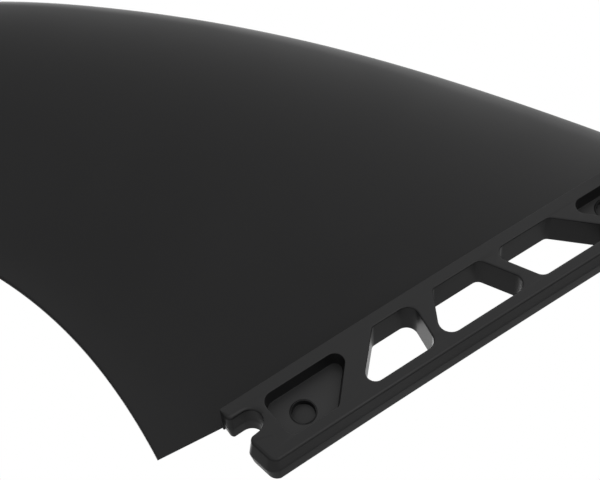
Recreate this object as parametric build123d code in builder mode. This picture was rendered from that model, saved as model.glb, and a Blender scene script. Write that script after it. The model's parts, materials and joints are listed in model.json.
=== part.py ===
# Surfboard side fin with one long base tab, moulded in one piece in black plastic.
# It lies on its flat inner side, as it comes to rest, and the foiled outer side looks up.
# Plan coordinates: X runs from the tab's rear end to its front, and Y from the foot line to the tip.
# The tab lies below the foot line. At the end the fin is moved over its own middle, the frame's origin.
from build123d import *
from math import cos, pi
import os

# Blade: its outline, as points of two smooth curves, and its foil
LEADING_EDGE = [
    (92.1, -2.0),
    (77.7, 23.3),
    (57.2, 54.0),
    (29.9, 84.4),
    (3.0, 104.4),
    (-24.0, 114.4),
    (-36.4, 116.3),
    (-40.4, 114.1),
]
TRAILING_EDGE = [
    (-11.9, -2.0),
    (-10.6, 14.5),
    (-11.4, 28.0),
    (-15.4, 44.3),
    (-23.6, 62.0),
    (-32.5, 82.0),
    (-38.6, 101.0),
    (-40.6, 112.2),
]
STATION_STEPS = 16  # foil sections stand at even steps along both edges
EDGE_THICKNESS = 0.7  # at the trailing edge
NOSE_SHARE = 0.05  # that thickness builds up over this share of the chord, behind the leading edge
THICKNESS_RATIO = 0.057  # foil height over chord, on top of the edge thickness
FOIL_FULLNESS = 1.35  # above 1, the foil thins out earlier towards the trailing edge
FOIL_STEPS = 10
OVERHANG_RISE = 1.2  # the foot lifts off the board behind the tab
OVERHANG_LENGTH = 11.8

# Tab
TAB_LENGTH = 114.3
TAB_DEPTH = 12.7
TAB_THICKNESS = 6.75
TAB_MIDDLE = TAB_LENGTH / 2
ROCKER_RADIUS = 2890.0  # the foot follows the slight curve of the board's underside
EDGE_FILLET = 0.8  # along the lower edges and up the hook's rear end
FRONT_CORNER = 2.0
RAMP_START = 104.0  # the clamp screw presses on a slope in front of the blade
RAMP_DROP = 6.0

# Lug and hook at the tab's rear end, with a slot between them that is open to the rear
SLOT_RADIUS = 2.1
SLOT_X = 2.5
SLOT_DEPTH = 4.6
LUG_BACKSET = 0.3
LUG_CORNER = 1.3
LUG_DRAFT = 0.5  # the lug's rear end leans forward towards the flat side
HOOK_CORNER = 1.2
HEEL_CORNER = 2.2
REAR_LEAN = 0.18  # the hook's rear end leans forward by this share of its depth
RIDGE_SETBACK = 0.75  # it falls back to both sides from the mould's parting line

# Windows through the tab: X and corner radius, at the top left, top right, bottom right and bottom left
WINDOW_TOP = 2.15
WINDOW_BOTTOM = 10.6
WINDOWS = [
    [(27.9, 1.0), (35.7, 2.0), (34.5, 1.9), (19.8, 1.6)],
    [(39.9, 1.0), (49.4, 1.5), (54.1, 1.9), (35.4, 2.1)],
    [(51.6, 1.7), (63.8, 1.4), (72.4, 0.9), (56.2, 1.8)],
]

# Blind pockets, with the sunk round mark of an ejector pin on each floor: X, depth and radius of the corners
POCKET_FLOOR = 3.7
POCKET_DRAFT = 16  # degrees, so that the pocket narrows towards its floor
REAR_POCKET = [(5.9, 2.2, 1.9), (23.0, 2.2, 1.7), (15.4, 10.6, 1.2), (6.3, 10.6, 1.5)]
FRONT_POCKET = [(66.2, 2.15, 1.7), (87.5, 2.15, 1.2), (87.5, 10.6, 1.2), (74.8, 10.6, 1.2)]
PIN_MARK_RADIUS = 1.95
PIN_MARK_SINK = 1.3
PIN_MARKS = [(10.95, 7.0), (74.15, 5.35)]


def on_tab(x, depth=0.0):
    """A point of the tab, given by its depth below the curved foot line."""
    return (x, -((x - TAB_MIDDLE) ** 2) / (2 * ROCKER_RADIUS) - depth)


def foil_height(u, chord):
    """Height of the foiled side at the share u of the chord, from the leading edge."""
    profile = 2.969 * u**0.5 - 1.26 * u - 3.516 * u**2 + 2.843 * u**3 - 1.036 * u**4
    edge = EDGE_THICKNESS * min(1.0, u / NOSE_SHARE) ** 0.5
    return edge + THICKNESS_RATIO * chord * abs(profile) ** FOIL_FULLNESS


def blade_section(tail, nose):
    """Foil section that stands on the chord from the trailing edge to the leading edge."""
    along = nose - tail
    shares = [(1 - cos(pi * k / FOIL_STEPS)) / 2 for k in range(FOIL_STEPS + 1)]
    upright = Plane(origin=tail, x_dir=along, z_dir=along.cross(Vector(0, 0, 1)))
    with BuildSketch(upright) as section:
        with BuildLine():
            foiled_side = Spline([(along.length * (1 - u), foil_height(u, along.length)) for u in shares])
            Polyline(foiled_side @ 1, (0, 0), (along.length, 0))
        make_face()
    return section.sketch.face()


def tab_arc(start, end, depth):
    """Arc at one depth below the foot line, between two places along the tab."""
    return ThreePointArc(on_tab(start, depth), on_tab((start + end) / 2, depth), on_tab(end, depth))


def round_corner(point, radius):
    """Rounds the corner of the current sketch that is nearest to a point."""
    fillet(vertices().sort_by_distance(point)[0], radius)


def outline_on_tab(corners):
    """Outline on the tab, given by the X, depth and rounding radius of its corners."""
    points = [on_tab(x, depth) for x, depth, radius in corners]
    radii = [radius for x, depth, radius in corners]
    with BuildSketch() as outline:
        with BuildLine():
            FilletPolyline(points, radius=radii, close=True)
        make_face()
    return outline.sketch


def behind_rear_end(top, bottom, profile):
    """Space behind the rear end along one line, given by a profile of setbacks and heights."""
    down = Vector(bottom) - Vector(top)
    inward = down.cross(Vector(0, 0, -1))
    first, last = profile[0], profile[-1]
    with BuildPart() as space:
        with BuildSketch(Plane(origin=Vector(top), x_dir=inward, z_dir=down)):
            with BuildLine():
                Polyline((-TAB_THICKNESS, first[1]), *profile, (-TAB_THICKNESS, last[1]), close=True)
            make_face()
        extrude(amount=down.length)
    return space.part


with BuildLine() as leading:
    Spline(LEADING_EDGE)
with BuildLine() as trailing:
    Spline(TRAILING_EDGE)
stations = [k / STATION_STEPS for k in range(STATION_STEPS + 1)]
blade_sections = [blade_section(trailing.line @ t, leading.line @ t) for t in stations]

slot_top = on_tab(SLOT_X, SLOT_DEPTH - SLOT_RADIUS)
slot_end = on_tab(SLOT_X + SLOT_RADIUS, SLOT_DEPTH)
slot_bottom = on_tab(SLOT_X, SLOT_DEPTH + SLOT_RADIUS)
lug_top = on_tab(-LUG_BACKSET)
lug_corner = (-LUG_BACKSET, slot_top[1])
hook_corner = (0, slot_bottom[1])
heel = on_tab(REAR_LEAN * (TAB_DEPTH - SLOT_DEPTH - SLOT_RADIUS), TAB_DEPTH)
rear_top = on_tab(-REAR_LEAN * (SLOT_DEPTH + SLOT_RADIUS))
rear_bottom = Vector(heel) + (Vector(heel) - Vector(hook_corner))
toe = on_tab(TAB_LENGTH, TAB_DEPTH)
ramp_foot = on_tab(TAB_LENGTH, RAMP_DROP)
lug_profile = [(LUG_DRAFT, 0), (0, TAB_THICKNESS)]
ridge_profile = [(RIDGE_SETBACK, 0), (0, TAB_THICKNESS / 2), (RIDGE_SETBACK, TAB_THICKNESS)]

with BuildPart() as tab:
    # Blank with rounded edges below and behind, and a ridge down its rear end
    with BuildSketch():
        with BuildLine():
            tab_arc(rear_top[0], TAB_LENGTH, 0)
            Line(on_tab(TAB_LENGTH), toe)
            tab_arc(TAB_LENGTH, heel[0], TAB_DEPTH)
            Line(heel, rear_top)
        make_face()
        round_corner(heel, HEEL_CORNER)
    extrude(amount=TAB_THICKNESS)
    arcs = tab.edges().filter_by(GeomType.CIRCLE).filter_by(lambda edge: edge.length > TAB_MIDDLE)
    fillet(arcs.filter_by(lambda edge: edge.center().Y < -TAB_DEPTH / 2), EDGE_FILLET)
    add(behind_rear_end(rear_top, rear_bottom, ridge_profile), mode=Mode.SUBTRACT)
    add(behind_rear_end(lug_top, lug_corner, lug_profile), mode=Mode.SUBTRACT)

    # Outline with the lug, the slot and the hook behind, and the clamp screw's slope in front
    with BuildSketch():
        with BuildLine():
            tab_arc(-LUG_BACKSET, RAMP_START, 0)
            Polyline(on_tab(RAMP_START), ramp_foot, toe)
            tab_arc(TAB_LENGTH, heel[0], TAB_DEPTH)
            Polyline(heel, hook_corner, slot_bottom)
            ThreePointArc(slot_bottom, slot_end, slot_top)
            Polyline(slot_top, lug_corner, lug_top)
        make_face()
        round_corner(lug_corner, LUG_CORNER)
        round_corner(hook_corner, HOOK_CORNER)
        round_corner(toe, FRONT_CORNER)
        round_corner(ramp_foot, FRONT_CORNER)
    extrude(amount=TAB_THICKNESS, mode=Mode.INTERSECT)

    # Windows
    depths = (WINDOW_TOP, WINDOW_TOP, WINDOW_BOTTOM, WINDOW_BOTTOM)
    with BuildSketch():
        for window in WINDOWS:
            add(outline_on_tab([(x, depth, radius) for (x, radius), depth in zip(window, depths)]))
    extrude(amount=TAB_THICKNESS, mode=Mode.SUBTRACT)

    # Pockets, open on the foiled side
    with BuildSketch(Plane.XY.offset(TAB_THICKNESS)):
        add(outline_on_tab(REAR_POCKET))
        add(outline_on_tab(FRONT_POCKET))
    extrude(amount=POCKET_FLOOR - TAB_THICKNESS, taper=POCKET_DRAFT, mode=Mode.SUBTRACT)
    with BuildSketch(Plane.XY.offset(POCKET_FLOOR)):
        with Locations([on_tab(x, depth) for x, depth in PIN_MARKS]):
            Circle(PIN_MARK_RADIUS)
    extrude(amount=-PIN_MARK_SINK, mode=Mode.SUBTRACT)

with BuildPart() as fin:
    # Blade, lofted along its two edges and cut clear of the board behind the tab
    loft(blade_sections)
    overhang_start = on_tab(LUG_DRAFT)
    overhang_end = (-OVERHANG_LENGTH, overhang_start[1] + OVERHANG_RISE)
    with BuildSketch():
        with BuildLine():
            Polyline(
                overhang_start,
                overhang_end,
                (2 * overhang_end[0], overhang_end[1]),
                (2 * overhang_end[0], -TAB_DEPTH),
                (overhang_start[0], -TAB_DEPTH),
                close=True,
            )
        make_face()
    extrude(amount=TAB_THICKNESS, mode=Mode.SUBTRACT)
    add(tab.part)

middle = fin.part.bounding_box().center()
print("plan coordinates of the origin", middle.X, middle.Y)
placed = fin.part.moved(Location((-middle.X, -middle.Y, 0)))
placed.label = "fin"
os.makedirs("parts", exist_ok=True)
export_step(placed, "parts/fin.step")
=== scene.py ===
"""Surfboard side fin in black moulded plastic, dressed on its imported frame.

The fin is one moulding, so it is one piece here too. Geometry Nodes grow the foiled blade between its two edge
curves. The base tab is built ring by ring, with rounded rims, three windows and two blind pockets. Both are then
joined into one closed skin. Sizes are in millimetres on the fin's plan: X runs from the tab's rear end to its
front, Y from the foot line to the tip, and Z up out of the foiled side.
"""
import json
import logging
import math
from dataclasses import dataclass, field
from enum import Enum, IntEnum
from typing import Optional, Sequence

import bmesh
import bpy
import numpy as np
from mathutils import Matrix, Vector
from mathutils.geometry import tessellate_polygon

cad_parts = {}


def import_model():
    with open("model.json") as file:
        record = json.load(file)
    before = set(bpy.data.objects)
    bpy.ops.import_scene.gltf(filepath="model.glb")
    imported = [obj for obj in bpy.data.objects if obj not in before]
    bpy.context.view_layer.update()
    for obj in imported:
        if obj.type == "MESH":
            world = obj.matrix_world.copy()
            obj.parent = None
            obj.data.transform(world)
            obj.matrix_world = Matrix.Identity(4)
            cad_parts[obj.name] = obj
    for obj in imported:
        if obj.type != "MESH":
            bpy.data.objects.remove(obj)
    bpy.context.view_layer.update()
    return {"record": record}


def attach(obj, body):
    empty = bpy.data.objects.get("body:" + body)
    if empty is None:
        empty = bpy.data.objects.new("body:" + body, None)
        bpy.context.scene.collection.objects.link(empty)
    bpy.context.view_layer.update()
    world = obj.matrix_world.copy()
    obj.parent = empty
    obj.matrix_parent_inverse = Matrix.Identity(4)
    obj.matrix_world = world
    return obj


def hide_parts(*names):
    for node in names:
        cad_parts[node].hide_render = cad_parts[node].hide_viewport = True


MM = 0.001
NODE = "fin"
BODY = "root"
# Points by X and Y on the plan, corners by X, depth and radius, and the vertices of a ring in order
PlanPoints = Sequence[tuple[float, float]]
RoundedPoints = Sequence[tuple[float, float, float]]
Ring = list[bmesh.types.BMVert]
log = logging.getLogger("fin")


def linear(hex_colour: str) -> tuple[float, float, float, float]:
    """Turns an sRGB hex colour to linear light.

    Args:
        hex_colour: Six hex digits with a leading mark, as "#1a1a1c".

    Returns:
        Linear red, green, blue and a full alpha.
    """
    channels = [int(hex_colour[i:i + 2], 16) / 255 for i in (1, 3, 5)]
    red, green, blue = (c / 12.92 if c <= 0.04045 else ((c + 0.055) / 1.055) ** 2.4 for c in channels)
    return red, green, blue, 1.0


def add_node(tree: bpy.types.NodeTree, kind: str, settings: Optional[dict] = None,
             links: Optional[dict] = None) -> bpy.types.Node:
    """Adds one node with its settings and links.

    Args:
        tree: Node tree that gets the node.
        kind: The node's type name.
        settings: Values of the node's own properties.
        links: For each input, by name or number, a value or the output socket that feeds it.

    Returns:
        The new node.
    """
    node = tree.nodes.new(kind)
    for name, value in (settings or {}).items():
        setattr(node, name, value)
    for name, value in (links or {}).items():
        if isinstance(value, bpy.types.NodeSocket):
            tree.links.new(value, node.inputs[name])
        else:
            node.inputs[name].default_value = value
    return node


@dataclass(frozen=True)
class Plan:
    """The fin's plan and where it lies in the frame."""

    shift: Vector

    @classmethod
    def from_mount(cls, record: dict, name: str, on_plan: Sequence[float]) -> "Plan":
        """Finds the plan's place from a mount whose plan coordinates are known.

        Args:
            record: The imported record.
            name: The mount's name.
            on_plan: The mount's plan coordinates, in millimetres.

        Returns:
            The plan, placed in the frame.
        """
        mount = next(m for m in record["mounts"] if m["name"] == name)
        return cls(Vector(mount["pos_m"]) - Vector(on_plan) * MM)

    def place(self, x: float, y: float, z: float) -> Vector:
        """A plan point in millimetres as a frame point in metres."""
        return Vector((x, y, z)) * MM + self.shift


def smooth_curve(points: PlanPoints, steps: int) -> list[tuple[float, float]]:
    """Samples the smooth cubic curve that passes through some points.

    Args:
        points: At least four points.
        steps: Number of equal parameter steps.

    Returns:
        The samples, with both end points.
    """
    p = np.array(points, float)
    span = np.linalg.norm(np.diff(p, axis=0), axis=1)
    knots = np.concatenate([[0.0], np.cumsum(span)])
    secants = np.diff(p, axis=0) / span[:, None]
    count = len(p)
    matrix, right = np.zeros((count, count)), np.zeros((count, 2))
    # The slope at each end is that of the cubic through the four points next to it
    for end, near in ((0, slice(0, 4)), (count - 1, slice(count - 4, count))):
        cubic = np.polyfit(knots[near] - knots[end], p[near], 3)
        matrix[end, end], right[end] = 1.0, cubic[2]
    for i in range(1, count - 1):
        before, after = span[i - 1], span[i]
        matrix[i, i - 1:i + 2] = after, 2 * (before + after), before
        right[i] = 3 * (after * secants[i - 1] + before * secants[i])
    slopes = np.linalg.solve(matrix, right)
    samples = []
    for t in np.linspace(0.0, knots[-1], steps + 1):
        i = min(int(np.searchsorted(knots, t, side="right")) - 1, count - 2)
        h, s = span[i], (t - knots[i]) / span[i]
        start, end = p[i] * (1 + 2 * s) * (1 - s) ** 2, p[i + 1] * s * s * (3 - 2 * s)
        samples.append(tuple(start + end + h * (slopes[i] * s * (1 - s) ** 2 + slopes[i + 1] * s * s * (s - 1))))
    return samples


def link_object(name: str, data: bpy.types.ID) -> bpy.types.Object:
    """Puts new object data into the scene and returns its object."""
    made = bpy.data.objects.new(name, data)
    bpy.context.scene.collection.objects.link(made)
    return made


def frozen_copy(source: bpy.types.Object, name: str) -> bpy.types.Object:
    """Makes a plain mesh object of an object with all its modifiers.

    Args:
        source: Object with live modifiers. It is removed.
        name: Name of the new object.

    Returns:
        The new object, at the origin, with the shape in its mesh.
    """
    bpy.context.view_layer.update()
    graph = bpy.context.evaluated_depsgraph_get()
    mesh = bpy.data.meshes.new_from_object(source.evaluated_get(graph), depsgraph=graph)
    bpy.data.objects.remove(source)
    mesh.name = name
    return link_object(name, mesh)


@dataclass(frozen=True)
class MouldedNylon:
    """Glass-filled nylon, injection moulded in a steel mould and coloured black throughout.

    The pigment leaves the body almost without colour of its own, so the eye reads the moulding by its satin sheen.
    The mould's surface leaves a very fine grain, drawn coarser than it is so that it shows, and the flow of the melt a
    slow, faint change in gloss. Pits and fibre ends that are finer than the grain swallow part of the mirrored light,
    so the specular level of the smoother finishes is below the default.
    """

    name: str
    colour: str = "#0a0a0b"
    colour_rougher: str = "#0f0f10"
    roughness: float = 0.42
    roughness_swing: float = 0.05
    ior: float = 1.53
    specular_level: float = 0.28
    grain_mm: float = 0.35
    grain_height_mm: float = 0.0012
    flow_mm: float = 28.0

    def build(self) -> bpy.types.Material:
        """Builds the material.

        Returns:
            The node material, with patterns on Object coordinates.
        """
        material = bpy.data.materials.new(self.name)
        material.use_nodes = True
        tree = material.node_tree
        tree.nodes.clear()
        place = add_node(tree, "ShaderNodeTexCoord").outputs["Object"]
        flow = add_node(tree, "ShaderNodeTexNoise", links={
            "Vector": place, "Scale": 1 / (self.flow_mm * MM), "Detail": 3.0, "Roughness": 0.55, "Distortion": 0.6,
        }).outputs["Fac"]
        grain = add_node(tree, "ShaderNodeTexNoise", links={
            "Vector": place, "Scale": 1 / (self.grain_mm * MM), "Detail": 2.0, "Roughness": 0.5,
        }).outputs["Fac"]
        colour = add_node(tree, "ShaderNodeMix", {"data_type": "RGBA"}, {
            "Factor": flow, 6: linear(self.colour), 7: linear(self.colour_rougher),
        }).outputs[2]
        gloss = add_node(tree, "ShaderNodeMapRange", links={
            "Value": flow, "From Min": 0.3, "From Max": 0.7,
            "To Min": self.roughness - self.roughness_swing, "To Max": self.roughness + self.roughness_swing,
        }).outputs["Result"]
        bump = add_node(tree, "ShaderNodeBump", links={
            "Height": grain, "Distance": self.grain_height_mm * MM, "Strength": 1.0,
        }).outputs["Normal"]
        shader = add_node(tree, "ShaderNodeBsdfPrincipled", links={
            "Base Color": colour, "Roughness": gloss, "IOR": self.ior, "Specular IOR Level": self.specular_level,
            "Normal": bump,
        })
        add_node(tree, "ShaderNodeOutputMaterial", links={"Surface": shader.outputs["BSDF"]})
        return material


# The mould is polished where it forms the blade, which gives the eye one soft, even sheen
POLISHED = MouldedNylon("moulded_nylon_polished")
# The tab's copy is a little rougher and has a higher specular level, so its flat faces look slightly lighter than the
# blade beside them
MATT = MouldedNylon("moulded_nylon_matt", roughness=0.44, specular_level=0.38)
# The pockets' floors get a rougher copy that reflects more light. This is painted light that cancels the shade their
# walls cast, so they look as light as the tab's face
FLOOR_PAINTED_LIGHT = MouldedNylon("moulded_nylon_floor_painted_light", roughness=0.5, specular_level=0.52)

# Streamlined profile with a greatest height of 1: the factor of the root of the chord's share, then those of the
# share's first to fourth power
PROFILE_ROOT_FACTOR = 2.969
PROFILE_POWER_FACTORS = (-1.26, -3.516, 2.843, -1.036)


@dataclass
class Blade:
    """The foiled blade: flat below, foiled above, between a leading and a trailing edge curve."""

    plan: Plan
    leading_edge: PlanPoints = (
        (92.1, -2.0), (77.7, 23.3), (57.2, 54.0), (29.9, 84.4),
        (3.0, 104.4), (-24.0, 114.4), (-36.4, 116.3), (-40.4, 114.1),
    )
    trailing_edge: PlanPoints = (
        (-11.9, -2.0), (-10.6, 14.5), (-11.4, 28.0), (-15.4, 44.3),
        (-23.6, 62.0), (-32.5, 82.0), (-38.6, 101.0), (-40.6, 112.2),
    )
    edge_thickness: float = 0.7  # height of the trailing edge
    edge_rounding: float = 0.25  # of its upper corner
    nose_share: float = 0.05  # that height builds up over this share of the chord, behind the leading edge
    thickness_ratio: float = 0.0611  # foil height over chord, on top of that height
    fullness: float = 1.45  # power of the profile, so that above 1 the foil thins out earlier
    flat_margin: float = 0.07  # share of the foil height below which the profile eases out flat
    chord_steps: int = 80
    span_steps: int = 120
    curve_steps: int = 240
    weld_distance: float = 0.002
    overhang_start: tuple[float, float] = (0.5, -0.56)  # behind this point the foot lifts off the board
    overhang_end: tuple[float, float] = (-11.8, 0.64)
    cutter_reach: float = 10.0  # of the clearing block, from the foot line and up from the flat side
    cutter_clearance: float = 1.0  # below the flat side

    def edge_object(self, name: str, points: PlanPoints) -> bpy.types.Object:
        """Makes an edge of the blade as a curve object in the frame.

        Args:
            name: The object's name.
            points: Points of the edge on the plan.

        Returns:
            The curve object.
        """
        curve = bpy.data.curves.new(name, "CURVE")
        curve.dimensions = "3D"
        samples = [self.plan.place(x, y, 0.0) for x, y in smooth_curve(points, self.curve_steps)]
        spline = curve.splines.new("POLY")
        spline.points.add(len(samples) - 1)
        for point, sample in zip(spline.points, samples):
            point.co = (*sample, 1.0)
        return link_object(name, curve)

    def foil_tree(self) -> bpy.types.NodeTree:
        """Builds the tree that bends a grid into the blade.

        One side of the grid runs round the section, from the trailing edge's foot over the foiled side to the
        leading edge and back along the flat side. The other side runs from the foot line to the tip.

        Returns:
            The geometry node tree.
        """
        tree = bpy.data.node_groups.new("blade_foil", "GeometryNodeTree")
        sockets = (
            ("Leading Edge", "NodeSocketObject"), ("Trailing Edge", "NodeSocketObject"),
            ("Chord Steps", "NodeSocketInt"), ("Span Steps", "NodeSocketInt"),
            ("Edge Thickness", "NodeSocketFloat"), ("Edge Rounding", "NodeSocketFloat"),
            ("Nose Share", "NodeSocketFloat"), ("Thickness Ratio", "NodeSocketFloat"),
            ("Fullness", "NodeSocketFloat"), ("Flat Margin", "NodeSocketFloat"), ("Material", "NodeSocketMaterial"),
        )
        for name, kind in sockets:
            tree.interface.new_socket(name, in_out="INPUT", socket_type=kind)
        tree.interface.new_socket("Geometry", in_out="OUTPUT", socket_type="NodeSocketGeometry")
        given = add_node(tree, "NodeGroupInput").outputs
        math_node, vector_node = "ShaderNodeMath", "ShaderNodeVectorMath"

        # Grid of one metre each way, whose place on it says the step round the section and the share of the span
        steps_round = add_node(tree, math_node, {"operation": "MULTIPLY_ADD"},
                               {0: given["Chord Steps"], 1: 2.0, 2: 1.0})
        points_round = add_node(tree, math_node, {"operation": "ADD"}, {0: steps_round.outputs[0], 1: 1.0})
        points_along = add_node(tree, math_node, {"operation": "ADD"}, {0: given["Span Steps"], 1: 1.0})
        grid = add_node(tree, "GeometryNodeMeshGrid", links={
            "Size X": 1.0, "Size Y": 1.0, "Vertices X": points_round.outputs[0],
            "Vertices Y": points_along.outputs[0],
        })
        position = add_node(tree, "GeometryNodeInputPosition")
        on_grid = add_node(tree, "ShaderNodeSeparateXYZ", links={0: position.outputs[0]})
        round_share = add_node(tree, math_node, {"operation": "ADD"}, {0: on_grid.outputs["X"], 1: 0.5})
        raw_step = add_node(tree, math_node, {"operation": "MULTIPLY"},
                            {0: round_share.outputs[0], 1: steps_round.outputs[0]})
        step = add_node(tree, math_node, {"operation": "ROUND"}, {0: raw_step.outputs[0]}).outputs[0]
        span_share = add_node(tree, math_node, {"operation": "ADD"}, {0: on_grid.outputs["Y"], 1: 0.5}).outputs[0]

        # Share of the chord behind the leading edge, with closer steps towards both edges
        nose_step = add_node(tree, math_node, {"operation": "ADD"}, {0: given["Chord Steps"], 1: 1.0}).outputs[0]
        shares = []
        for first, sign in ((1.0, 1.0), (nose_step, -1.0)):
            done = add_node(tree, math_node, {"operation": "SUBTRACT"}, {0: step, 1: first})
            part = add_node(tree, math_node, {"operation": "DIVIDE", "use_clamp": True},
                            {0: done.outputs[0], 1: given["Chord Steps"]})
            angle = add_node(tree, math_node, {"operation": "MULTIPLY"}, {0: part.outputs[0], 1: math.pi})
            cosine = add_node(tree, math_node, {"operation": "COSINE"}, {0: angle.outputs[0]})
            shares.append(add_node(tree, math_node, {"operation": "MULTIPLY_ADD"},
                                   {0: cosine.outputs[0], 1: 0.5 * sign, 2: 0.5}).outputs[0])
        u = add_node(tree, math_node, {"operation": "ADD", "use_clamp": True}, {0: shares[0], 1: shares[1]}).outputs[0]

        # Both ends of the section's chord
        ends = []
        for name in ("Leading Edge", "Trailing Edge"):
            edge = add_node(tree, "GeometryNodeObjectInfo", {"transform_space": "ORIGINAL"}, {"Object": given[name]})
            ends.append(add_node(tree, "GeometryNodeSampleCurve", {"mode": "FACTOR", "use_all_curves": True}, {
                "Curves": edge.outputs["Geometry"], "Factor": span_share,
            }).outputs["Position"])
        chord = add_node(tree, vector_node, {"operation": "SUBTRACT"}, {0: ends[1], 1: ends[0]})
        length = add_node(tree, vector_node, {"operation": "LENGTH"}, {0: chord.outputs[0]}).outputs["Value"]
        behind = add_node(tree, vector_node, {"operation": "SCALE"}, {0: chord.outputs[0], "Scale": u})
        on_chord = add_node(tree, vector_node, {"operation": "ADD"}, {0: ends[0], 1: behind.outputs[0]})

        # Streamlined profile over the chord
        root = add_node(tree, math_node, {"operation": "SQRT"}, {0: u})
        height, *lower_powers = reversed(PROFILE_POWER_FACTORS)
        for term in (*lower_powers, 0.0):
            height = add_node(tree, math_node, {"operation": "MULTIPLY_ADD"}, {0: u, 1: height, 2: term}).outputs[0]
        profile = add_node(tree, math_node, {"operation": "MULTIPLY_ADD"},
                           {0: root.outputs[0], 1: PROFILE_ROOT_FACTOR, 2: height})
        positive = add_node(tree, math_node, {"operation": "ABSOLUTE"}, {0: profile.outputs[0]})
        fuller = add_node(tree, math_node, {"operation": "POWER"}, {0: positive.outputs[0], 1: given["Fullness"]})

        # It eases out flat where it is thin, towards the trailing edge
        fuller_squared = add_node(tree, math_node, {"operation": "MULTIPLY"},
                                  {0: fuller.outputs[0], 1: fuller.outputs[0]})
        eased_squared = add_node(tree, math_node, {"operation": "MULTIPLY_ADD"},
                                 {0: given["Flat Margin"], 1: given["Flat Margin"], 2: fuller_squared.outputs[0]})
        eased_root = add_node(tree, math_node, {"operation": "SQRT"}, {0: eased_squared.outputs[0]})
        eased = add_node(tree, math_node, {"operation": "SUBTRACT"},
                         {0: eased_root.outputs[0], 1: given["Flat Margin"]})

        # Foil height, on top of the edge's own thickness
        thickest = add_node(tree, math_node, {"operation": "MULTIPLY"}, {0: length, 1: given["Thickness Ratio"]})
        nose = add_node(tree, math_node, {"operation": "DIVIDE", "use_clamp": True}, {0: u, 1: given["Nose Share"]})
        nose_root = add_node(tree, math_node, {"operation": "SQRT"}, {0: nose.outputs[0]})
        edge_height = add_node(tree, math_node, {"operation": "MULTIPLY"},
                               {0: nose_root.outputs[0], 1: given["Edge Thickness"]})
        foil = add_node(tree, math_node, {"operation": "MULTIPLY_ADD"},
                        {0: thickest.outputs[0], 1: eased.outputs[0], 2: edge_height.outputs[0]})

        # Rounding of the trailing edge's upper corner
        in_roundings = add_node(tree, math_node, {"operation": "DIVIDE"}, {0: length, 1: given["Edge Rounding"]})
        from_tail = add_node(tree, math_node, {"operation": "SUBTRACT"}, {0: u, 1: 1.0})
        into = add_node(tree, math_node, {"operation": "MULTIPLY_ADD", "use_clamp": True},
                        {0: from_tail.outputs[0], 1: in_roundings.outputs[0], 2: 1.0})
        squared = add_node(tree, math_node, {"operation": "MULTIPLY"}, {0: into.outputs[0], 1: into.outputs[0]})
        rest = add_node(tree, math_node, {"operation": "SUBTRACT"}, {0: 1.0, 1: squared.outputs[0]})
        arc = add_node(tree, math_node, {"operation": "SQRT"}, {0: rest.outputs[0]})
        short = add_node(tree, math_node, {"operation": "SUBTRACT"}, {0: arc.outputs[0], 1: 1.0})
        rounded = add_node(tree, math_node, {"operation": "MULTIPLY_ADD"},
                           {0: short.outputs[0], 1: given["Edge Rounding"], 2: foil.outputs[0]})

        # Only the steps of the foiled side stand above the flat side
        last = add_node(tree, math_node, {"operation": "ADD"}, {0: given["Chord Steps"], 1: 1.5})
        after_first = add_node(tree, math_node, {"operation": "GREATER_THAN"}, {0: step, 1: 0.5})
        before_last = add_node(tree, math_node, {"operation": "LESS_THAN"}, {0: step, 1: last.outputs[0]})
        foiled = add_node(tree, math_node, {"operation": "MULTIPLY"},
                          {0: after_first.outputs[0], 1: before_last.outputs[0]})
        rise = add_node(tree, math_node, {"operation": "MULTIPLY"}, {0: rounded.outputs[0], 1: foiled.outputs[0]})
        upward = add_node(tree, "ShaderNodeCombineXYZ", links={"Z": rise.outputs[0]})
        target = add_node(tree, vector_node, {"operation": "ADD"}, {0: on_chord.outputs[0], 1: upward.outputs[0]})

        shaped = add_node(tree, "GeometryNodeSetPosition", links={
            "Geometry": grid.outputs["Mesh"], "Position": target.outputs[0],
        })
        closed = add_node(tree, "GeometryNodeMergeByDistance", links={
            "Geometry": shaped.outputs[0], "Distance": self.weld_distance * MM,
        })
        real = add_node(tree, "GeometryNodeRealizeInstances", links={"Geometry": closed.outputs[0]})
        painted = add_node(tree, "GeometryNodeSetMaterial", links={
            "Geometry": real.outputs[0], "Material": given["Material"],
        })
        add_node(tree, "NodeGroupOutput", links={"Geometry": painted.outputs[0]})
        return tree

    def grow(self, material: bpy.types.Material) -> bpy.types.Object:
        """Runs the tree and closes the blade at its foot and tip.

        Args:
            material: Finish of the blade.

        Returns:
            The closed blade as a plain mesh object.
        """
        edges = (self.edge_object("leading_edge", self.leading_edge),
                 self.edge_object("trailing_edge", self.trailing_edge))
        carrier = link_object("blade_grid", bpy.data.meshes.new("blade_grid"))
        modifier = carrier.modifiers.new("foil", "NODES")
        modifier.node_group = self.foil_tree()
        values = {
            "Leading Edge": edges[0], "Trailing Edge": edges[1],
            "Chord Steps": self.chord_steps, "Span Steps": self.span_steps,
            "Edge Thickness": self.edge_thickness * MM, "Edge Rounding": self.edge_rounding * MM,
            "Nose Share": self.nose_share, "Thickness Ratio": self.thickness_ratio,
            "Fullness": self.fullness, "Flat Margin": self.flat_margin, "Material": material,
        }
        for socket in modifier.node_group.interface.items_tree:
            if socket.in_out == "INPUT":
                modifier[socket.identifier] = values[socket.name]
        blade = frozen_copy(carrier, "blade")
        for edge in edges:
            bpy.data.objects.remove(edge)
        skin = bmesh.new()
        skin.from_mesh(blade.data)
        open_edges = [e for e in skin.edges if e.is_boundary]
        bmesh.ops.holes_fill(skin, edges=open_edges, sides=0)
        bmesh.ops.recalc_face_normals(skin, faces=skin.faces)
        skin.to_mesh(blade.data)
        skin.free()
        return blade

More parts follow.
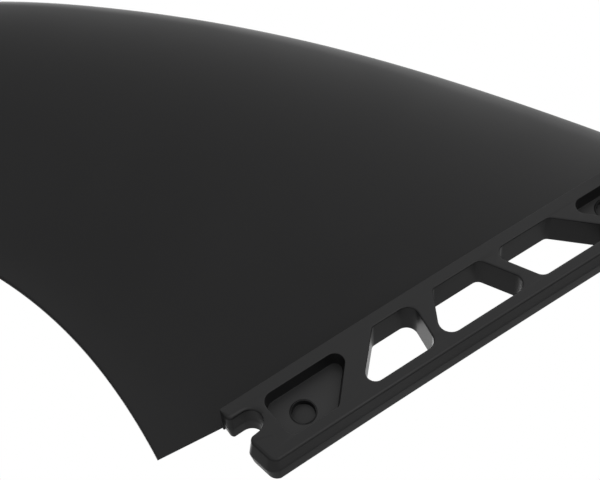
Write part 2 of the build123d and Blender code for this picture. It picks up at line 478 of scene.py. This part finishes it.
    def overhang_cutter(self, material: bpy.types.Material) -> bpy.types.Object:
        """Makes the block that clears the blade's foot from the board behind the tab.

        Args:
            material: Finish that the cut face gets.

        Returns:
            The block's object.
        """
        start, end = self.overhang_start, self.overhang_end
        behind, below = 2 * end[0], -self.cutter_reach
        outline = [start, end, (behind, end[1]), (behind, below), (start[0], below)]
        block = bmesh.new()
        low = [block.verts.new(self.plan.place(x, y, -self.cutter_clearance)) for x, y in outline]
        high = [block.verts.new(self.plan.place(x, y, self.cutter_reach)) for x, y in outline]
        block.faces.new(low)
        block.faces.new(high)
        for i in range(len(outline)):
            j = (i + 1) % len(outline)
            block.faces.new((low[i], low[j], high[j], high[i]))
        bmesh.ops.recalc_face_normals(block, faces=block.faces)
        mesh = bpy.data.meshes.new("overhang_cutter")
        block.to_mesh(mesh)
        block.free()
        mesh.materials.append(material)
        return link_object("overhang_cutter", mesh)


class PlasticSide(Enum):
    """Side of an outline on which the plastic is."""

    INSIDE = -1
    OUTSIDE = 1


class TabFinish(IntEnum):
    """Place of each finish among the tab's materials."""

    FACE = 0
    POCKET_FLOOR = 1


@dataclass(frozen=True)
class Corner:
    """Corner of an outline on the tab, in millimetres.

    The rim is the rounding of the wall's upper and lower edges beside the corner. The setback is how far the wall
    falls back towards the faces: from its middle to both when it is positive, and from the foiled side to the flat
    one when it is negative.
    """

    x: float
    depth: float
    radius: float
    rim: float
    setback: float = 0.0


@dataclass(frozen=True)
class OutlinePoint:
    """Point of a sampled outline, with its outward normal and the rounding of the rims beside it."""

    x: float
    depth: float
    out_x: float
    out_depth: float
    rim: float
    setback: float


@dataclass(frozen=True)
class Outline:
    """Closed outline on the tab with rounded corners, given counter-clockwise as seen on the foiled side."""

    corners: tuple[Corner, ...]
    corner_steps: int = 10
    longest_step: float = 2.5

    def sampled(self) -> list[OutlinePoint]:
        """Samples the corners' arcs and the straight stretches between them.

        Returns:
            The points in order, with the last one next to the first.
        """
        # Each corner's arc, from the side that comes in to the side that leaves
        arcs = []
        count = len(self.corners)
        for i, corner in enumerate(self.corners):
            here = Vector((corner.x, corner.depth))
            before, after = self.corners[i - 1], self.corners[(i + 1) % count]
            come = (here - Vector((before.x, before.depth))).normalized()
            leave = (Vector((after.x, after.depth)) - here).normalized()
            turn = math.atan2(leave.cross(come), leave.dot(come))
            side = 1.0 if turn > 0 else -1.0
            run = corner.radius * math.tan(abs(turn) / 2)
            centre = here - come * run - Vector((-come.y, come.x)) * (corner.radius * side)
            heading = math.atan2(come.y, come.x)
            arc = []
            for k in range(self.corner_steps + 1):
                angle = heading - turn * k / self.corner_steps
                out = Vector((-math.sin(angle), math.cos(angle)))
                spot = centre + out * (corner.radius * side)
                arc.append(OutlinePoint(spot.x, spot.y, out.x, out.y, corner.rim, corner.setback))
            arcs.append(arc)
        # Points between the end of each arc and the start of the next
        points = []
        for i, arc in enumerate(arcs):
            points.extend(arc)
            start, end = arc[-1], arcs[(i + 1) % count][0]
            gap = math.hypot(end.x - start.x, end.depth - start.depth)
            pieces = max(1, math.ceil(gap / self.longest_step))
            for k in range(1, pieces):
                t = k / pieces
                points.append(OutlinePoint(*(a + (b - a) * t for a, b in zip(
                    (start.x, start.depth, start.out_x, start.out_depth, start.rim, start.setback),
                    (end.x, end.depth, end.out_x, end.out_depth, end.rim, end.setback)))))
        return points


@dataclass
class Tab:
    """The base tab with its lug, slot, hook, windows, pockets and clamp slope."""

    plan: Plan
    length: float = 114.3
    depth: float = 12.7
    thickness: float = 6.75
    rocker_radius: float = 2890.0  # the foot follows the slight curve of the board's underside
    # Roundings of the rims: along the lower edge, at most on the flat side, where an edge is crisp, along the foot
    # and at the windows
    edge_rounding: float = 0.5
    flat_side_rounding: float = 0.2
    crisp: float = 0.12
    foot_rim: float = 0.05
    window_rim: float = 0.3
    rim_steps: int = 5
    weld_distance: float = 0.0005
    # The outer wall falls back to both sides from the mould's parting line
    wall_draft: float = 0.06
    parting_step: float = 0.08
    parting_z: float = 3.15
    parting_height: float = 0.3
    # Lug and hook at the rear end, with a slot between them that is open to the rear
    lug_backset: float = 0.3
    lug_draft: float = 0.5
    lug_foot_corner: float = 0.2
    lug_corner: float = 1.0
    lug_rim: float = 0.75
    slot_x: float = 2.5
    slot_radius: float = 2.1
    slot_depth: float = 4.6
    slot_rim: float = 0.6
    hook_corner: float = 1.2
    hook_rim: float = 0.5
    heel_corner: float = 1.9
    ridge_setback: float = 0.5
    rear_lean: float = 0.18  # the hook's rear end leans forward by this share of its depth
    # Slope in front, on which the clamp screw presses
    ramp_start: float = 104.0
    ramp_drop: float = 6.0
    ramp_corner: float = 1.0
    front_corner: float = 2.0
    # Windows, by X and radius of the corners at the top left, top right, bottom right and bottom left
    window_top: float = 2.15
    window_bottom: float = 10.6
    windows: Sequence[Sequence[tuple[float, float]]] = (
        ((27.9, 1.0), (35.7, 2.0), (34.5, 1.9), (19.8, 1.6)),
        ((39.9, 1.0), (49.4, 1.5), (54.1, 1.9), (35.4, 2.1)),
        ((51.6, 1.7), (63.8, 1.4), (72.4, 0.9), (56.2, 1.8)),
    )
    # Blind pockets, by X, depth and radius of the same four corners
    pockets: Sequence[RoundedPoints] = (
        ((5.9, 2.2, 1.9), (23.0, 2.2, 1.7), (15.4, 10.6, 1.2), (6.3, 10.6, 1.5)),
        ((66.2, 2.15, 1.7), (87.5, 2.15, 1.2), (87.5, 10.6, 1.2), (74.8, 10.6, 1.2)),
    )
    pocket_floor: float = 4.1
    pocket_draft_degrees: float = 9.0
    pocket_fillet: float = 0.03
    # Sunk round marks of ejector pins on the pockets' floors, by X and depth, each with a raised lip round it
    pin_marks: Sequence[tuple[float, float]] = ((10.95, 7.0), (74.15, 5.35))
    pin_mark_radius: float = 1.95
    pin_mark_sink: float = 1.15
    pin_mark_lean: float = 0.12
    pin_mark_rim: float = 0.08
    pin_mark_fillet: float = 0.1
    pin_lip_width: float = 0.3
    pin_lip_height: float = 0.14
    circle_steps: int = 48
    circle_share: float = 0.9999
    skin: bmesh.types.BMesh = field(default_factory=bmesh.new)

    def spot(self, x: float, depth: float, z: float) -> Vector:
        """A point of the tab by its depth below the curved foot line, in the frame."""
        bend = (x - self.length / 2) ** 2 / (2 * self.rocker_radius)
        return self.plan.place(x, -bend - depth, z)

    def ring(self, points: Sequence[OutlinePoint], rules: Sequence[tuple[float, float]]) -> Ring:
        """Adds a ring of vertices beside an outline.

        Args:
            points: The outline's points.
            rules: For each point, how far the ring stands outside it and how high.

        Returns:
            The ring's vertices.
        """
        made = []
        for point, (out, z) in zip(points, rules):
            x, depth = point.x + point.out_x * out, point.depth + point.out_depth * out
            made.append(self.skin.verts.new(self.spot(x, depth, z)))
        return made

    def bridge(self, rings: Sequence[Ring]) -> None:
        """Joins each ring to the next with faces."""
        for one, two in zip(rings, rings[1:]):
            for i in range(len(one)):
                j = (i + 1) % len(one)
                self.skin.faces.new((one[i], one[j], two[j], two[i]))

    def sheet(self, loops: Sequence[Ring], finish: TabFinish = TabFinish.FACE) -> None:
        """Fills a flat face between an outer loop of vertices and the loops of its openings.

        Args:
            loops: The loops, with the outer one first.
            finish: The face's finish.
        """
        flat = [vertex for loop in loops for vertex in loop]
        for triangle in tessellate_polygon([[v.co for v in loop] for loop in loops]):
            self.skin.faces.new([flat[i] for i in triangle]).material_index = finish

    def through_wall(self, outline: Outline, plastic: PlasticSide) -> tuple[Ring, Ring]:
        """Builds a wall from the flat side to the foiled side, with a rounded rim at both.

        An outer wall falls back to both sides from the mould's parting line, which leaves a fine step.

        Args:
            outline: The wall's outline.
            plastic: Side of the outline on which the plastic is.

        Returns:
            The rims on the flat side and on the foiled side.
        """
        points = outline.sampled()
        middle = self.thickness / 2
        outer = plastic is PlasticSide.INSIDE
        step, full_draft = (self.parting_step, self.wall_draft) if outer else (0.0, 0.0)
        quarter = [math.pi / 2 * k / self.rim_steps for k in range(self.rim_steps + 1)]
        low_rims = [min(p.rim, self.flat_side_rounding) for p in points]
        levels = []
        for angle in quarter:
            levels.append([(rim * (1 - math.sin(angle)), rim * (1 - math.cos(angle))) for rim in low_rims])
        levels.append([(-step, self.parting_z - self.parting_height / 2) for p in points])
        levels.append([(0.0, self.parting_z + self.parting_height / 2) for p in points])
        for angle in reversed(quarter):
            levels.append([(p.rim * (1 - math.sin(angle)), self.thickness - p.rim * (1 - math.cos(angle)))
                           for p in points])
        rings = []
        for level in levels:
            rules = []
            for p, (back, z) in zip(points, level):
                share = abs(z - middle) / middle
                if p.setback < 0:
                    share = (self.thickness - z) / self.thickness
                rearward = max(0.0, -p.out_x)
                draft = full_draft * abs(z - middle) / middle
                rules.append((plastic.value * (back + draft) - abs(p.setback) * share * rearward, z))
            rings.append(self.ring(points, rules))
        self.bridge(rings)
        return rings[0], rings[-1]

    def blind_wall(self, outline: Outline, heights: tuple[float, float], roundings: tuple[float, float],
                   draft: float = 0.0) -> tuple[Ring, Ring]:
        """Builds the wall of a blind recess, from its rim down to a fillet at its floor.

        Args:
            outline: The recess's outline at its rim.
            heights: Heights of the rim and of the floor.
            roundings: Radii of the rim and of the fillet between wall and floor.
            draft: Run by which the wall leans in, per millimetre of depth.

        Returns:
            The rim's and the floor's rings.
        """
        points = outline.sampled()
        top, floor = heights
        rim, fillet = roundings
        quarter = [math.pi / 2 * k / self.rim_steps for k in range(self.rim_steps + 1)]
        profile = [(rim * (1 - math.sin(a)), top - rim * (1 - math.cos(a))) for a in quarter]
        profile += [(-fillet * (1 - math.sin(a)), floor + fillet * (1 - math.cos(a))) for a in reversed(quarter)]
        rings = [self.ring(points, [(out - draft * (top - z), z)] * len(points)) for out, z in profile]
        self.bridge(rings)
        return rings[0], rings[-1]

    def outer_outline(self) -> Outline:
        """The tab's own outline, from the lug down to the hook, along the lower edge and up the clamp slope."""
        slot_top, slot_bottom = self.slot_depth - self.slot_radius, self.slot_depth + self.slot_radius
        slot_end = self.slot_x + self.slot_radius
        heel_x = self.rear_lean * (self.depth - slot_bottom)
        soft = self.edge_rounding
        return Outline((
            Corner(-self.lug_backset, 0.0, self.lug_foot_corner, self.foot_rim, -self.lug_draft),
            Corner(-self.lug_backset, slot_top, self.lug_corner, self.lug_rim, -self.lug_draft),
            Corner(slot_end, slot_top, self.slot_radius, self.slot_rim),
            Corner(slot_end, slot_bottom, self.slot_radius, self.crisp),
            Corner(0.0, slot_bottom, self.hook_corner, self.hook_rim, self.ridge_setback),
            Corner(heel_x, self.depth, self.heel_corner, soft, self.ridge_setback),
            Corner(self.length, self.depth, self.front_corner, soft),
            Corner(self.length, self.ramp_drop, self.front_corner, self.crisp),
            Corner(self.ramp_start, 0.0, self.ramp_corner, self.foot_rim),
        ))

    def recess_outline(self, corners: RoundedPoints, rim: float) -> Outline:
        """Outline of a window or a pocket from the X, depth and radius of its corners, given clockwise."""
        return Outline(tuple(Corner(x, depth, radius, rim) for x, depth, radius in reversed(corners)))

    def circle(self, x: float, depth: float, radius: float) -> Outline:
        """Round outline: a square whose rounded corners nearly meet."""
        square = ((x - radius, depth - radius), (x - radius, depth + radius),
                  (x + radius, depth + radius), (x + radius, depth - radius))
        corners = tuple(Corner(a, b, radius * self.circle_share, self.crisp) for a, b in square)
        return Outline(corners, corner_steps=self.circle_steps // 4)

    def pocket(self, corners: RoundedPoints, mark_spot: tuple[float, float]) -> Ring:
        """Builds a blind pocket and the pin mark on its floor.

        Args:
            corners: X, depth and radius of the pocket's corners, given clockwise.
            mark_spot: X and depth of the mark's middle.

        Returns:
            The pocket's rim.
        """
        outline = self.recess_outline(corners, self.crisp)
        rim, floor = self.blind_wall(outline, (self.thickness, self.pocket_floor), (self.crisp, self.pocket_fillet),
                                     math.tan(math.radians(self.pocket_draft_degrees)))
        mark = self.circle(*mark_spot, self.pin_mark_radius)
        lip_top = self.pocket_floor + self.pin_lip_height
        lip_ring, mark_ring = self.blind_wall(mark, (lip_top, lip_top - self.pin_mark_sink),
                                              (self.pin_mark_rim, self.pin_mark_fillet))
        around = mark.sampled()
        mark_rim = self.ring(around, [(self.pin_lip_width, self.pocket_floor)] * len(around))
        self.bridge([mark_rim, lip_ring])
        middle = self.spot(*mark_spot, 0.0)
        for vertex in mark_ring:
            vertex.co.z += self.pin_mark_lean * (vertex.co.x - middle.x)
        # The pockets' floors take the more reflective copy of the nylon, painted light against the shade of their
        # walls
        self.sheet([floor, mark_rim], TabFinish.POCKET_FLOOR)
        self.sheet([mark_ring], TabFinish.POCKET_FLOOR)
        return rim

    def build(self, finishes: Sequence[bpy.types.Material]) -> bpy.types.Object:
        """Builds the whole tab as one closed skin.

        Args:
            finishes: The tab's materials, in the order of TabFinish.

        Returns:
            The tab's object.
        """
        flat_rim, foiled_rim = self.through_wall(self.outer_outline(), PlasticSide.INSIDE)
        flat_loops, foiled_loops = [flat_rim], [foiled_rim]
        depths = (self.window_top, self.window_top, self.window_bottom, self.window_bottom)
        for window in self.windows:
            corners = [(x, depth, radius) for (x, radius), depth in zip(window, depths)]
            flat, foiled = self.through_wall(self.recess_outline(corners, self.window_rim), PlasticSide.OUTSIDE)
            flat_loops.append(flat)
            foiled_loops.append(foiled)
        for corners, mark_spot in zip(self.pockets, self.pin_marks):
            foiled_loops.append(self.pocket(corners, mark_spot))
        self.sheet(flat_loops)
        self.sheet(foiled_loops)
        bmesh.ops.remove_doubles(self.skin, verts=self.skin.verts, dist=self.weld_distance * MM)
        bmesh.ops.recalc_face_normals(self.skin, faces=self.skin.faces)
        mesh = bpy.data.meshes.new("tab")
        self.skin.to_mesh(mesh)
        self.skin.free()
        for material in finishes:
            mesh.materials.append(material)
        return link_object("tab", mesh)


@dataclass
class Fin:
    """The whole moulding: a polished blade and a matt tab in one skin."""

    blade: Blade
    tab: Tab
    name: str = "fin_moulding"
    crease_degrees: float = 32.0

    def build(self) -> bpy.types.Object:
        """Joins the blade and the tab and shades the result.

        Returns:
            The fin's object, which stands for the frame's node.
        """
        polished = POLISHED.build()
        blade = self.blade.grow(polished)
        log.info("blade: %d faces", len(blade.data.polygons))
        # The tab's second material is the pockets' floors' more reflective copy, painted light against their walls'
        # shade
        tab = self.tab.build((MATT.build(), FLOOR_PAINTED_LIGHT.build()))
        log.info("tab: %d faces", len(tab.data.polygons))
        cutter = self.blade.overhang_cutter(polished)
        for other, operation in ((cutter, "DIFFERENCE"), (tab, "UNION")):
            join = blade.modifiers.new(operation.lower(), "BOOLEAN")
            join.operation, join.object, join.solver, join.material_mode = operation, other, "EXACT", "TRANSFER"
        fin = frozen_copy(blade, self.name)
        bpy.data.objects.remove(cutter)
        bpy.data.objects.remove(tab)
        self.shade(fin.data)
        fin = self.weighted(fin)
        log.info("%s: %d faces", fin.name, len(fin.data.polygons))
        return fin

    def shade(self, mesh: bpy.types.Mesh) -> None:
        """Smooths the skin, apart from its creases."""
        mesh.shade_smooth()
        mesh.set_sharp_from_angle(angle=math.radians(self.crease_degrees))

    def weighted(self, fin: bpy.types.Object) -> bpy.types.Object:
        """Keeps the flat faces' shading flat beside their rounded rims."""
        modifier = fin.modifiers.new("weighted", "WEIGHTED_NORMAL")
        modifier.mode, modifier.keep_sharp = "FACE_AREA", True
        return frozen_copy(fin, self.name)


@dataclass(frozen=True)
class Glow:
    """Soft bright patch of the studio's walls and ceiling, by the direction in which the fin sees it."""

    azimuth: float  # degrees from X towards Y
    elevation: float  # degrees above the horizon
    strength: float  # brightness of its middle
    tightness: float  # power of the cosine by which it fades from there

    @property
    def direction(self) -> tuple[float, float, float]:
        """Unit vector from the fin to the patch."""
        around, up = math.radians(self.azimuth), math.radians(self.elevation)
        return math.cos(up) * math.cos(around), math.cos(up) * math.sin(around), math.sin(up)


@dataclass
class Studio:
    """Pale floor, soft lights and the camera."""

    plan: Plan
    camera_place: tuple[float, float, float] = (-57.2, -118.0, 256.6)  # on the plan, in millimetres
    camera_aim: tuple[float, float, float] = (30.04, 21.64, 0.0)  # likewise
    camera_roll_degrees: float = -2.884
    lens_mm: float = 108.0
    sensor_mm: float = 36.0
    floor_size: float = 4.0  # metres
    floor_clearance: float = 0.00002  # metres, from the floor up to the flat side
    floor_colour: str = "#f7f7f7"
    glossy_share: float = 0.05  # how much of the plain backdrop glossy rays see
    ambient: float = 0.03  # light from every direction, besides the glows
    glows: tuple[Glow, ...] = (
        # The far side of the room, which the blade and the tab's face mirror
        Glow(35.0, 10.0, 1.1, 2.0),
        Glow(75.0, 10.0, 0.5, 2.0),
        Glow(35.0, 40.0, 0.08, 2.0),
        # The room behind the camera and to its left, for the rear end's rims
        Glow(150.0, 30.0, 0.5, 8.0),
        Glow(220.0, 45.0, 0.7, 3.0),
        # The room to the camera's right, for the rounding along the tab's lower edge
        Glow(300.0, 65.0, 0.7, 6.0),
        Glow(294.0, 46.0, 1.2, 14.0),
        Glow(288.0, 5.0, 0.45, 8.0),
        # Below the floor, for the walls of the windows, the slot and the lower edge
        Glow(82.0, -47.0, 4.4, 14.0),
        Glow(15.0, -57.0, 0.7, 16.0),
        Glow(215.0, -60.0, 0.25, 2.0),
    )

    def shoot_from(self) -> bpy.types.Object:
        """Sets the camera up at the photograph's viewing angle.

        Returns:
            The camera's object.
        """
        data = bpy.data.cameras.new("camera")
        data.lens, data.sensor_width = self.lens_mm, self.sensor_mm
        data.clip_start, data.clip_end = 0.01, 20.0
        camera = link_object("camera", data)
        place, aim = self.plan.place(*self.camera_place), self.plan.place(*self.camera_aim)
        forward = (aim - place).normalized()
        level = forward.cross(Vector((0, 0, 1))).normalized()
        upright = level.cross(forward)
        roll = math.radians(self.camera_roll_degrees)
        right = level * math.cos(roll) + upright * math.sin(roll)
        up = upright * math.cos(roll) - level * math.sin(roll)
        camera.matrix_world = Matrix((
            (right.x, up.x, -forward.x, place.x),
            (right.y, up.y, -forward.y, place.y),
            (right.z, up.z, -forward.z, place.z),
            (0, 0, 0, 1),
        ))
        bpy.context.scene.camera = camera
        return camera

    def backdrop_share(self, tree: bpy.types.NodeTree) -> bpy.types.NodeSocket:
        """Says how far a ray sees the plain white backdrop.

        Args:
            tree: Tree of the floor or the world.

        Returns:
            The share, from 0 to 1. The camera's own rays and those through clear surfaces see all of it, and rays
            that a glossy surface reflects see a little.
        """
        seen = add_node(tree, "ShaderNodeLightPath").outputs
        direct = add_node(tree, "ShaderNodeMath", {"operation": "MAXIMUM"},
                          {0: seen["Is Camera Ray"], 1: seen["Is Transmission Ray"]})
        partly = add_node(tree, "ShaderNodeMath", {"operation": "MULTIPLY"},
                          {0: seen["Is Glossy Ray"], 1: self.glossy_share})
        return add_node(tree, "ShaderNodeMath", {"operation": "MAXIMUM"},
                        {0: direct.outputs[0], 1: partly.outputs[0]}).outputs[0]

    def floor(self) -> bpy.types.Object:
        """Lays the pale floor, which keeps a faint shadow.

        Mirrored rays look through it, as over a sheet of clear acrylic, into the part of the room below it. That part
        is bright on the far side and dim towards the camera. From below it is clear, so that the flat side shows.

        Returns:
            The floor's object.
        """
        half, z = self.floor_size / 2, -self.floor_clearance
        mesh = bpy.data.meshes.new("floor")
        mesh.from_pydata([(-half, -half, z), (half, -half, z), (half, half, z), (-half, half, z)], [], [(0, 1, 2, 3)])
        material = bpy.data.materials.new("studio_paper_white")
        material.use_nodes = True
        tree = material.node_tree
        tree.nodes.clear()
        paper = add_node(tree, "ShaderNodeBsdfDiffuse", links={"Color": linear(self.floor_colour)})
        glow = add_node(tree, "ShaderNodeEmission", links={"Color": (1, 1, 1, 1), "Strength": 1.0})
        clear = add_node(tree, "ShaderNodeBsdfTransparent")
        lit = add_node(tree, "ShaderNodeMixShader", links={
            0: self.backdrop_share(tree), 1: paper.outputs[0], 2: glow.outputs[0],
        })
        glossy = add_node(tree, "ShaderNodeLightPath").outputs["Is Glossy Ray"]
        below = add_node(tree, "ShaderNodeNewGeometry").outputs["Backfacing"]
        through = add_node(tree, "ShaderNodeMath", {"operation": "MAXIMUM"}, {0: glossy, 1: below}).outputs[0]
        mix = add_node(tree, "ShaderNodeMixShader", links={0: through, 1: lit.outputs[0], 2: clear.outputs[0]})
        add_node(tree, "ShaderNodeOutputMaterial", links={"Surface": mix.outputs[0]})
        mesh.materials.append(material)
        floor = link_object("floor", mesh)
        return floor

    def surround(self) -> None:
        """Sets the world: white to the camera, and a softly lit room to what it lights."""
        world = bpy.data.worlds.new("studio")
        bpy.context.scene.world = world
        world.use_nodes = True
        tree = world.node_tree
        tree.nodes.clear()
        direction = add_node(tree, "ShaderNodeTexCoord").outputs["Generated"]
        level = self.ambient
        for glow in self.glows:
            facing = add_node(tree, "ShaderNodeVectorMath", {"operation": "DOT_PRODUCT"},
                              {0: direction, 1: glow.direction}).outputs["Value"]
            ahead = add_node(tree, "ShaderNodeMath", {"operation": "MAXIMUM"}, {0: facing, 1: 0.0}).outputs[0]
            patch = add_node(tree, "ShaderNodeMath", {"operation": "POWER"}, {0: ahead, 1: glow.tightness}).outputs[0]
            level = add_node(tree, "ShaderNodeMath", {"operation": "MULTIPLY_ADD"},
                             {0: patch, 1: glow.strength, 2: level}).outputs[0]
        room = add_node(tree, "ShaderNodeBackground", links={"Color": (1, 1, 1, 1), "Strength": level})
        backdrop = add_node(tree, "ShaderNodeBackground", links={"Color": (1, 1, 1, 1), "Strength": 1.0})
        mix = add_node(tree, "ShaderNodeMixShader", links={
            0: self.backdrop_share(tree), 1: room.outputs[0], 2: backdrop.outputs[0],
        })
        add_node(tree, "ShaderNodeOutputWorld", links={"Surface": mix.outputs[0]})

    def build(self) -> None:
        """Sets up the floor, the lights, the surround and the camera."""
        self.floor()
        self.surround()
        self.shoot_from()
        bpy.context.scene.view_settings.view_transform = "Standard"


def main() -> None:
    """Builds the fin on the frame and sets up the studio."""
    logging.basicConfig(level=logging.INFO, format="%(name)s %(message)s")
    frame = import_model()
    plan = Plan.from_mount(frame["record"], "tab", (Tab.length / 2, -Tab.depth, Tab.thickness / 2))
    fin = Fin(Blade(plan), Tab(plan)).build()
    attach(fin, BODY)
    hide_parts(NODE)
    Studio(plan).build()
    bpy.context.view_layer.update()


if __name__ == "__main__":
    main()
